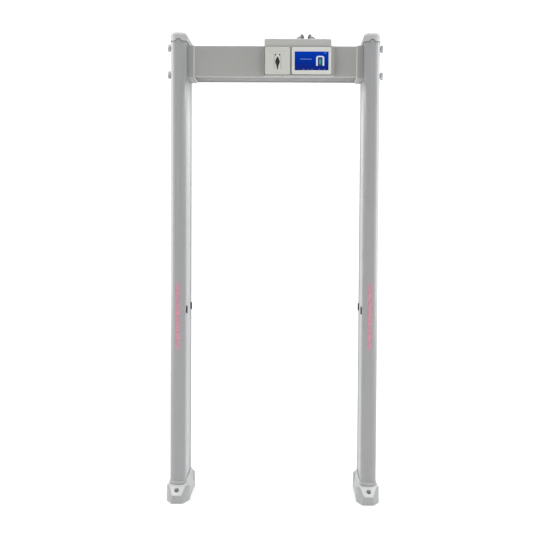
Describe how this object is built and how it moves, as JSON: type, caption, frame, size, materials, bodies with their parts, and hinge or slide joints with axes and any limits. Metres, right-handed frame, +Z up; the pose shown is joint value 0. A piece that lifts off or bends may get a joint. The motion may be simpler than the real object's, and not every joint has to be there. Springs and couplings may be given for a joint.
{
  "type": "walk-through security gate",
  "caption": "Walk-through metal detector gate: slim rounded columns on moulded feet, joined by a box beam that carries a control unit with a screen and a service door.",
  "frame": {"origin": "on the floor, midway between the columns", "axes": "+X to the right as the visitor walks up, +Y through the passage to the back, +Z up"},
  "size_m": [1.016, 0.49, 2.2237],
  "materials": {
    "silver": "satin silver powder coat",
    "pale_grey": "fine textured moulding",
    "mid_grey": "matte",
    "charcoal": "matte",
    "smoked": "satin translucent",
    "black": "gloss",
    "screen": "lit screen",
    "steel": "satin",
    "board": "lacquered board",
    "copper": "enamelled winding"
  },
  "bodies": {
    "gate_frame": {"front_post_left": "silver", "rear_post_left": "silver", "inner_panel_left": "silver", "outer_panel_left": "silver", "light_strip_left": "smoked", "led_board_left": "board", "beam_sensor_front_left": "black", "beam_sensor_rear_left": "black", "top_cap_left": "pale_grey", "foot_left": "pale_grey", "beam_bracket_left": "mid_grey", "lead_plug_left": "charcoal", "lead_left": "charcoal", "front_post_right": "silver", "rear_post_right": "silver", "inner_panel_right": "silver", "outer_panel_right": "silver", "light_strip_right": "smoked", "led_board_right": "board", "beam_sensor_front_right": "black", "beam_sensor_rear_right": "black", "top_cap_right": "pale_grey", "foot_right": "pale_grey", "beam_bracket_right": "mid_grey", "lead_plug_right": "charcoal", "lead_right": "charcoal", "transmit_coil": "copper", "receive_coil": "copper", "beam_front_fascia": "silver", "beam_rear_fascia": "silver", "beam_top_cover": "silver", "beam_bottom_cover": "silver", "power_inlet": "charcoal", "keypad_plate": "charcoal", "backup_battery": "charcoal", "unit_front_frame": "pale_grey", "display_bezel": "pale_grey", "unit_housing": "pale_grey", "unit_hood": "pale_grey", "hinge_pin": "steel", "power_supply": "steel", "display_panel": "screen", "alarm_sounder": "black", "main_board": "board"},
    "service_door": {"service_door": "pale_grey"},
    "door_lock": {"lock_barrel": "steel"},
    "power_rocker": {"power_rocker": "black"},
    "key_up": {"key_up": "mid_grey"},
    "key_down": {"key_down": "mid_grey"},
    "key_left": {"key_left": "mid_grey"},
    "key_right": {"key_right": "mid_grey"},
    "key_ok": {"key_ok": "mid_grey"},
    "knob_left_front_upper": {"knob_left_front_upper": "charcoal"},
    "knob_left_front_lower": {"knob_left_front_lower": "charcoal"},
    "knob_left_rear_upper": {"knob_left_rear_upper": "charcoal"},
    "knob_left_rear_lower": {"knob_left_rear_lower": "charcoal"},
    "knob_right_front_upper": {"knob_right_front_upper": "charcoal"},
    "knob_right_front_lower": {"knob_right_front_lower": "charcoal"},
    "knob_right_rear_upper": {"knob_right_rear_upper": "charcoal"},
    "knob_right_rear_lower": {"knob_right_rear_lower": "charcoal"}
  },
  "joints": [
    {"name": "service_door_hinge", "type": "hinge", "parent": "gate_frame", "child": "service_door", "pos_m": [-0.0508, -0.1667, 2.077], "axis": [0, 0, -1], "range_deg": [0, 100]},
    {"name": "door_lock_turn", "type": "hinge", "parent": "gate_frame", "child": "door_lock", "pos_m": [0.04, -0.15, 2.008], "axis": [0, 0, 1], "range_deg": [0, 90]},
    {"name": "power_rocker_tilt", "type": "hinge", "parent": "gate_frame", "child": "power_rocker", "pos_m": [-0.03, -0.1405, 2.042], "axis": [-1, 0, 0], "range_deg": [0, 16]},
    {"name": "key_up_press", "type": "slide", "parent": "gate_frame", "child": "key_up", "axis": [0, 1, 0], "range_m": [0, 0.0012], "stiffness_N_per_m": 400},
    {"name": "key_down_press", "type": "slide", "parent": "gate_frame", "child": "key_down", "axis": [0, 1, 0], "range_m": [0, 0.0012], "stiffness_N_per_m": 400},
    {"name": "key_left_press", "type": "slide", "parent": "gate_frame", "child": "key_left", "axis": [0, 1, 0], "range_m": [0, 0.0012], "stiffness_N_per_m": 400},
    {"name": "key_right_press", "type": "slide", "parent": "gate_frame", "child": "key_right", "axis": [0, 1, 0], "range_m": [0, 0.0012], "stiffness_N_per_m": 400},
    {"name": "key_ok_press", "type": "slide", "parent": "gate_frame", "child": "key_ok", "axis": [0, 1, 0], "range_m": [0, 0.0012], "stiffness_N_per_m": 400},
    {"name": "knob_left_front_upper_turn", "type": "hinge", "parent": "gate_frame", "child": "knob_left_front_upper", "pos_m": [-0.497, -0.11, 2.1395], "axis": [-1, 0, 0], "continuous": true},
    {"name": "knob_left_front_lower_turn", "type": "hinge", "parent": "gate_frame", "child": "knob_left_front_lower", "pos_m": [-0.497, -0.11, 2.0135], "axis": [-1, 0, 0], "continuous": true},
    {"name": "knob_left_rear_upper_turn", "type": "hinge", "parent": "gate_frame", "child": "knob_left_rear_upper", "pos_m": [-0.497, 0.11, 2.1395], "axis": [-1, 0, 0], "continuous": true},
    {"name": "knob_left_rear_lower_turn", "type": "hinge", "parent": "gate_frame", "child": "knob_left_rear_lower", "pos_m": [-0.497, 0.11, 2.0135], "axis": [-1, 0, 0], "continuous": true},
    {"name": "knob_right_front_upper_turn", "type": "hinge", "parent": "gate_frame", "child": "knob_right_front_upper", "pos_m": [0.497, -0.11, 2.1395], "axis": [1, 0, 0], "continuous": true},
    {"name": "knob_right_front_lower_turn", "type": "hinge", "parent": "gate_frame", "child": "knob_right_front_lower", "pos_m": [0.497, -0.11, 2.0135], "axis": [1, 0, 0], "continuous": true},
    {"name": "knob_right_rear_upper_turn", "type": "hinge", "parent": "gate_frame", "child": "knob_right_rear_upper", "pos_m": [0.497, 0.11, 2.1395], "axis": [1, 0, 0], "continuous": true},
    {"name": "knob_right_rear_lower_turn", "type": "hinge", "parent": "gate_frame", "child": "knob_right_rear_lower", "pos_m": [0.497, 0.11, 2.0135], "axis": [1, 0, 0], "continuous": true}
  ]
}
